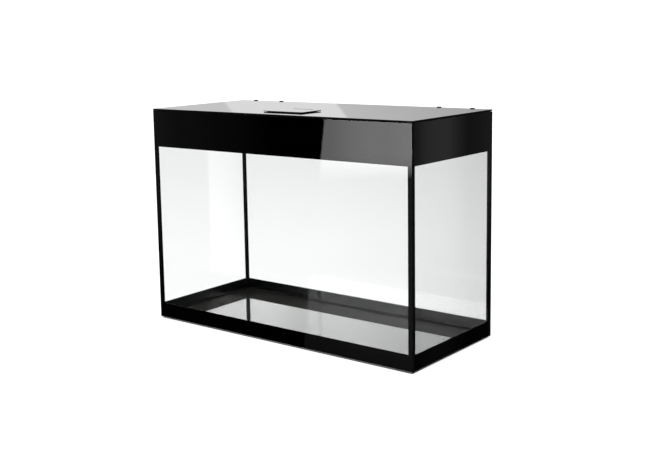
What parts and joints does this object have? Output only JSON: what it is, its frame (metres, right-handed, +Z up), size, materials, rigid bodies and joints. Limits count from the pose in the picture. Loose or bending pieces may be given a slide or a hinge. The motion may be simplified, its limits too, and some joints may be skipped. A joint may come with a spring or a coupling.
{
  "type": "glass aquarium tank",
  "caption": "Rectangular glass aquarium with black enamel bands, a hinged black glass lid with a feeding hatch, and lamps that turn in clips under the lid.",
  "frame": {"origin": "centre of the footprint, on the surface that the tank stands on", "axes": "+X along the width to the right, +Y along the depth to the rear, +Z up"},
  "size_m": [0.8, 0.35, 0.5636],
  "materials": {
    "clear_glass": "clear float glass with polished edges",
    "black_glass": "black-backed toughened glass, mirror gloss",
    "enamel": "black glass enamel",
    "silicone": "black silicone, satin",
    "foam": "fine closed-cell foam, matte",
    "bumper_rubber": "soft rubber, matte",
    "hinge_metal": "black powder coat",
    "steel": "stainless steel, fine turned",
    "black_plastic": "moulded, fine texture",
    "aluminium": "extruded, satin anodised",
    "opal": "opal diffuser, satin",
    "board": "white solder resist",
    "tape": "adhesive foam tape, matte"
  },
  "bodies": {
    "tank": {"base_mat": "foam", "bottom_pane": "clear_glass", "front_pane": "clear_glass", "rear_pane": "clear_glass", "left_pane": "clear_glass", "right_pane": "clear_glass", "front_enamel": "enamel", "rear_enamel": "enamel", "left_enamel": "enamel", "right_enamel": "enamel", "front_brace": "clear_glass", "rear_brace": "clear_glass", "corner_seams": "silicone", "floor_seam": "silicone", "brace_seams": "silicone", "lid_bumpers": "bumper_rubber", "hinge_pads": "tape", "left_hinge_base": "hinge_metal", "right_hinge_base": "hinge_metal", "left_hinge_pin": "steel", "right_hinge_pin": "steel"},
    "lid": {"lid_glass": "black_glass", "left_hinge_leaf": "hinge_metal", "right_hinge_leaf": "hinge_metal", "hinge_clamp_screws": "steel", "feed_frame": "black_plastic", "hatch_hinge_base": "hinge_metal", "hatch_hinge_pin": "steel", "rail_pads": "tape", "left_light_rail": "aluminium", "right_light_rail": "aluminium", "rail_nuts": "steel", "clip_screws": "steel", "front_left_clip": "black_plastic", "front_right_clip": "black_plastic", "rear_left_clip": "black_plastic", "rear_right_clip": "black_plastic"},
    "hatch": {"hatch_plate": "black_glass", "hatch_seal": "bumper_rubber", "hatch_hinge_leaf": "hinge_metal"},
    "front_lamp": {"front_lamp_housing": "aluminium", "front_lamp_diffuser": "opal", "front_led_board": "board", "front_lamp_left_cap": "black_plastic", "front_lamp_right_cap": "black_plastic", "front_lamp_gland": "bumper_rubber"},
    "rear_lamp": {"rear_lamp_housing": "aluminium", "rear_lamp_diffuser": "opal", "rear_led_board": "board", "rear_lamp_left_cap": "black_plastic", "rear_lamp_right_cap": "black_plastic", "rear_lamp_gland": "bumper_rubber"}
  },
  "joints": [
    {"name": "lid_hinge", "type": "hinge", "parent": "tank", "child": "lid", "pos_m": [0, 0.172, 0.551], "axis": [-1, 0, 0], "range_deg": [0, 100]},
    {"name": "hatch_hinge", "type": "hinge", "parent": "lid", "child": "hatch", "pos_m": [0, -0.0485, 0.5619], "axis": [-1, 0, 0], "range_deg": [0, 100]},
    {"name": "front_lamp_turn", "type": "hinge", "parent": "lid", "child": "front_lamp", "pos_m": [0, -0.005, 0.53], "axis": [1, 0, 0], "range_deg": [-45, 45]},
    {"name": "rear_lamp_turn", "type": "hinge", "parent": "lid", "child": "rear_lamp", "pos_m": [0, 0.075, 0.53], "axis": [1, 0, 0], "range_deg": [-45, 45]}
  ]
}
